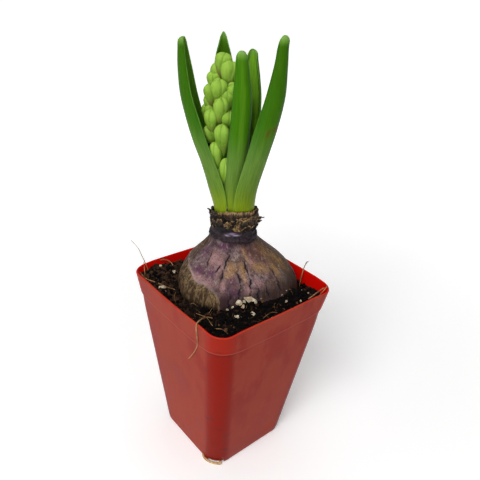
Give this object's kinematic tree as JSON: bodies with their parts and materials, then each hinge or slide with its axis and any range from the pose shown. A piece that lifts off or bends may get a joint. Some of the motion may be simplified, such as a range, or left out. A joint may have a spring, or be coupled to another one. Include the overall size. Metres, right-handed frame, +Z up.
{
  "type": "potted hyacinth bulb in bud",
  "caption": "Forced hyacinth in bud: purple papery bulb half sunk in soil in a square tapered pot, with channelled leaves round a tight green flower spike.",
  "frame": {"origin": "centre of the pot's flat underside", "axes": "+Z up along the plant; the pot's sides face +X, -X, +Y and -Y, and the front leaf looks between +X and -Y"},
  "size_m": [0.076, 0.076, 0.2166],
  "materials": {
    "pot_plastic": "satin",
    "potting_soil": "matte",
    "bulb_skin": "satin",
    "dry_scale": "matte",
    "root": "matte",
    "leaf": "satin",
    "bud": "satin"
  },
  "bodies": {
    "root": {"pot": "pot_plastic", "soil": "potting_soil", "bulb": "bulb_skin", "roots": "root", "neck_scales": "dry_scale", "leaf_left": "leaf", "leaf_right": "leaf", "leaf_front": "leaf", "leaf_back_right": "leaf", "leaf_back": "leaf", "flower_spike": "bud"}
  },
  "joints": []
}
